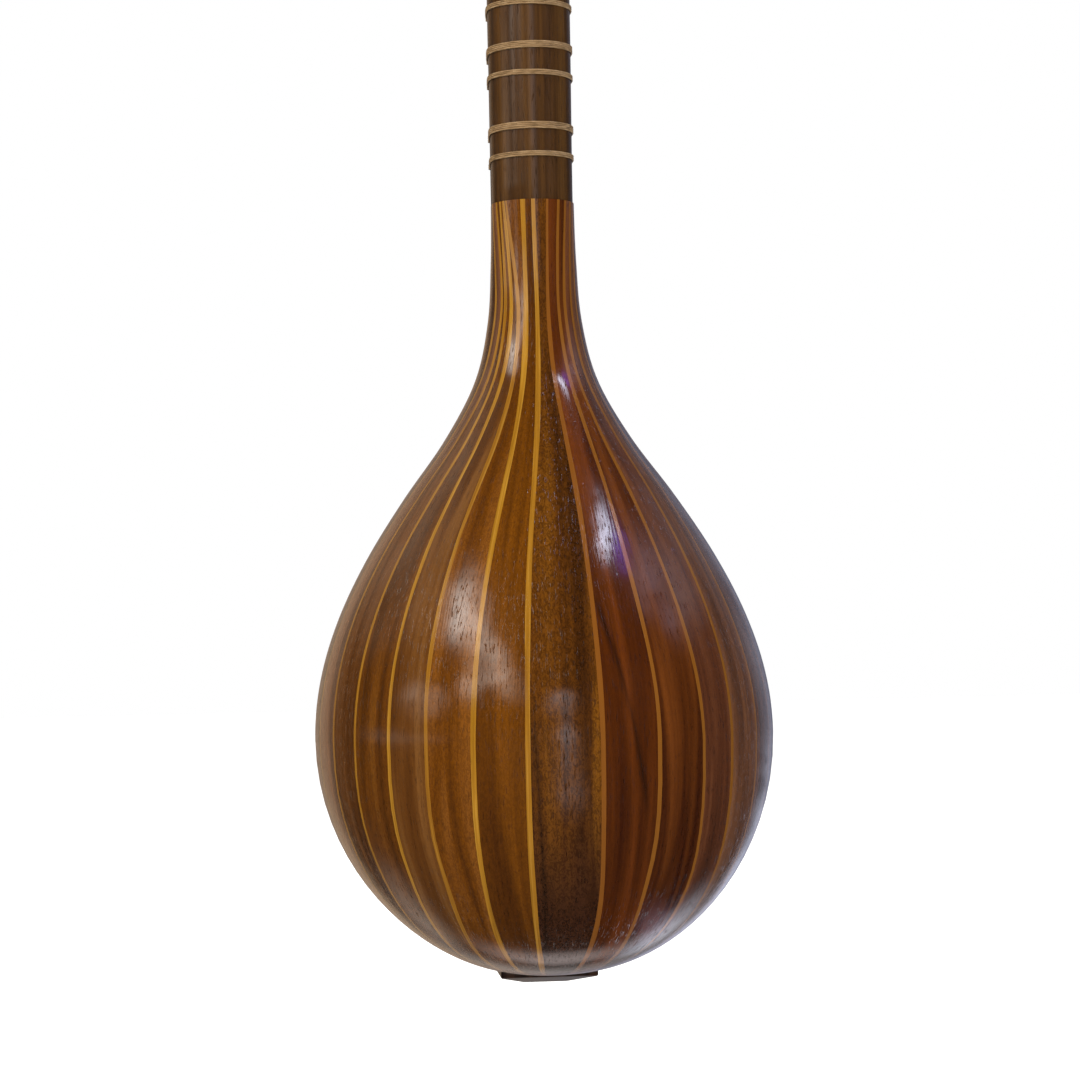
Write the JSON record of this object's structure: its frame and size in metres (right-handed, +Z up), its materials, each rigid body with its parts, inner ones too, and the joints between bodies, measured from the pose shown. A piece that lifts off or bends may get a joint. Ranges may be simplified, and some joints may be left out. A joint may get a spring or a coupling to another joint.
{
  "type": "setar",
  "caption": "Long-necked lute with a ribbed wooden bowl, tied gut frets, friction pegs, a movable bridge and strings that hook onto a tailpiece.",
  "frame": {"origin": "middle of the tailpiece's flat foot, in the plane where the soundboard is glued to the bowl", "axes": "+Z up the neck from the tail to the head, -Y out of the soundboard, +Y out of the bowl's back, +X towards the treble side"},
  "size_m": [0.16, 0.1482, 0.859],
  "materials": {
    "walnut_brown": "gloss varnish",
    "walnut_gold": "gloss varnish",
    "walnut_red": "gloss varnish",
    "walnut_dark": "gloss varnish",
    "fillet_wood": "gloss varnish",
    "neck_wood": "gloss varnish",
    "board_wood": "satin oil",
    "block_wood": "bare",
    "hard_wood": "polished",
    "bone": "polished",
    "gut": "satin",
    "steel": "drawn wire",
    "brass": "drawn wire"
  },
  "bodies": {
    "instrument": {"rib_01": "walnut_brown", "rib_02": "walnut_brown", "rib_03": "walnut_red", "rib_04": "walnut_brown", "rib_05": "walnut_brown", "rib_06": "walnut_red", "rib_07": "walnut_brown", "rib_08": "walnut_red", "rib_09": "walnut_dark", "rib_10": "walnut_gold", "rib_11": "walnut_gold", "rib_12": "walnut_brown", "rib_13": "walnut_gold", "rib_14": "walnut_brown", "rib_15": "walnut_brown", "rib_16": "walnut_brown", "rib_17": "walnut_brown", "seam_fillets": "fillet_wood", "soundboard": "board_wood", "neck_block": "block_wood", "tail_block": "block_wood", "soundboard_brace": "block_wood", "tailpiece": "hard_wood", "neck": "neck_wood", "fingerboard": "hard_wood", "nut": "bone", "string_1_steel": "steel", "string_2_brass": "brass", "string_3_steel": "steel", "string_4_bass": "brass"},
    "fret_01": {"fret_01": "gut"},
    "fret_02": {"fret_02": "gut"},
    "fret_03": {"fret_03": "gut"},
    "fret_04": {"fret_04": "gut"},
    "fret_05": {"fret_05": "gut"},
    "fret_06": {"fret_06": "gut"},
    "fret_07": {"fret_07": "gut"},
    "fret_08": {"fret_08": "gut"},
    "fret_09": {"fret_09": "gut"},
    "fret_10": {"fret_10": "gut"},
    "fret_11": {"fret_11": "gut"},
    "fret_12": {"fret_12": "gut"},
    "fret_13": {"fret_13": "gut"},
    "fret_14": {"fret_14": "gut"},
    "fret_15": {"fret_15": "gut"},
    "fret_16": {"fret_16": "gut"},
    "fret_17": {"fret_17": "gut"},
    "fret_18": {"fret_18": "gut"},
    "fret_19": {"fret_19": "gut"},
    "fret_20": {"fret_20": "gut"},
    "fret_21": {"fret_21": "gut"},
    "fret_22": {"fret_22": "gut"},
    "fret_23": {"fret_23": "gut"},
    "fret_24": {"fret_24": "gut"},
    "fret_25": {"fret_25": "gut"},
    "bridge": {"bridge": "hard_wood"},
    "peg_front_lower": {"peg_front_lower": "hard_wood"},
    "peg_side_lower": {"peg_side_lower": "hard_wood"},
    "peg_front_upper": {"peg_front_upper": "hard_wood"},
    "peg_side_upper": {"peg_side_upper": "hard_wood"}
  },
  "joints": [
    {"name": "fret_01_slide", "type": "slide", "parent": "instrument", "child": "fret_01", "axis": [0, 0, 1], "range_m": [-0.002, 0.002]},
    {"name": "fret_02_slide", "type": "slide", "parent": "instrument", "child": "fret_02", "axis": [0, 0, 1], "range_m": [-0.002, 0.002]},
    {"name": "fret_03_slide", "type": "slide", "parent": "instrument", "child": "fret_03", "axis": [0, 0, 1], "range_m": [-0.002, 0.002]},
    {"name": "fret_04_slide", "type": "slide", "parent": "instrument", "child": "fret_04", "axis": [0, 0, 1], "range_m": [-0.002, 0.002]},
    {"name": "fret_05_slide", "type": "slide", "parent": "instrument", "child": "fret_05", "axis": [0, 0, 1], "range_m": [-0.002, 0.002]},
    {"name": "fret_06_slide", "type": "slide", "parent": "instrument", "child": "fret_06", "axis": [0, 0, 1], "range_m": [-0.002, 0.002]},
    {"name": "fret_07_slide", "type": "slide", "parent": "instrument", "child": "fret_07", "axis": [0, 0, 1], "range_m": [-0.002, 0.002]},
    {"name": "fret_08_slide", "type": "slide", "parent": "instrument", "child": "fret_08", "axis": [0, 0, 1], "range_m": [-0.002, 0.002]},
    {"name": "fret_09_slide", "type": "slide", "parent": "instrument", "child": "fret_09", "axis": [0, 0, 1], "range_m": [-0.002, 0.002]},
    {"name": "fret_10_slide", "type": "slide", "parent": "instrument", "child": "fret_10", "axis": [0, 0, 1], "range_m": [-0.002, 0.002]},
    {"name": "fret_11_slide", "type": "slide", "parent": "instrument", "child": "fret_11", "axis": [0, 0, 1], "range_m": [-0.002, 0.002]},
    {"name": "fret_12_slide", "type": "slide", "parent": "instrument", "child": "fret_12", "axis": [0, 0, 1], "range_m": [-0.002, 0.002]},
    {"name": "fret_13_slide", "type": "slide", "parent": "instrument", "child": "fret_13", "axis": [0, 0, 1], "range_m": [-0.002, 0.002]},
    {"name": "fret_14_slide", "type": "slide", "parent": "instrument", "child": "fret_14", "axis": [0, 0, 1], "range_m": [-0.002, 0.002]},
    {"name": "fret_15_slide", "type": "slide", "parent": "instrument", "child": "fret_15", "axis": [0, 0, 1], "range_m": [-0.002, 0.002]},
    {"name": "fret_16_slide", "type": "slide", "parent": "instrument", "child": "fret_16", "axis": [0, 0, 1], "range_m": [-0.002, 0.002]},
    {"name": "fret_17_slide", "type": "slide", "parent": "instrument", "child": "fret_17", "axis": [0, 0, 1], "range_m": [-0.002, 0.002]},
    {"name": "fret_18_slide", "type": "slide", "parent": "instrument", "child": "fret_18", "axis": [0, 0, 1], "range_m": [-0.002, 0.002]},
    {"name": "fret_19_slide", "type": "slide", "parent": "instrument", "child": "fret_19", "axis": [0, 0, 1], "range_m": [-0.002, 0.002]},
    {"name": "fret_20_slide", "type": "slide", "parent": "instrument", "child": "fret_20", "axis": [0, 0, 1], "range_m": [-0.002, 0.002]},
    {"name": "fret_21_slide", "type": "slide", "parent": "instrument", "child": "fret_21", "axis": [0, 0, 1], "range_m": [-0.002, 0.002]},
    {"name": "fret_22_slide", "type": "slide", "parent": "instrument", "child": "fret_22", "axis": [0, 0, 1], "range_m": [-0.002, 0.002]},
    {"name": "fret_23_slide", "type": "slide", "parent": "instrument", "child": "fret_23", "axis": [0, 0, 1], "range_m": [-0.002, 0.002]},
    {"name": "fret_24_slide", "type": "slide", "parent": "instrument", "child": "fret_24", "axis": [0, 0, 1], "range_m": [-0.002, 0.002]},
    {"name": "fret_25_slide", "type": "slide", "parent": "instrument", "child": "fret_25", "axis": [0, 0, 1], "range_m": [-0.002, 0.002]},
    {"name": "bridge_slide", "type": "slide", "parent": "instrument", "child": "bridge", "axis": [0, 0, 1], "range_m": [-0.002, 0.002]},
    {"name": "peg_front_lower_turn", "type": "hinge", "parent": "instrument", "child": "peg_front_lower", "pos_m": [0.00803, 0.0045, 0.774], "axis": [0, -1, 0], "continuous": true},
    {"name": "peg_side_lower_turn", "type": "hinge", "parent": "instrument", "child": "peg_side_lower", "pos_m": [-0.016, 0.012, 0.795], "axis": [-1, 0, 0], "continuous": true},
    {"name": "peg_front_upper_turn", "type": "hinge", "parent": "instrument", "child": "peg_front_upper", "pos_m": [0.00292, 0.0045, 0.816], "axis": [0, -1, 0], "continuous": true},
    {"name": "peg_side_upper_turn", "type": "hinge", "parent": "instrument", "child": "peg_side_upper", "pos_m": [-0.016, 0.012, 0.837], "axis": [-1, 0, 0], "continuous": true}
  ]
}
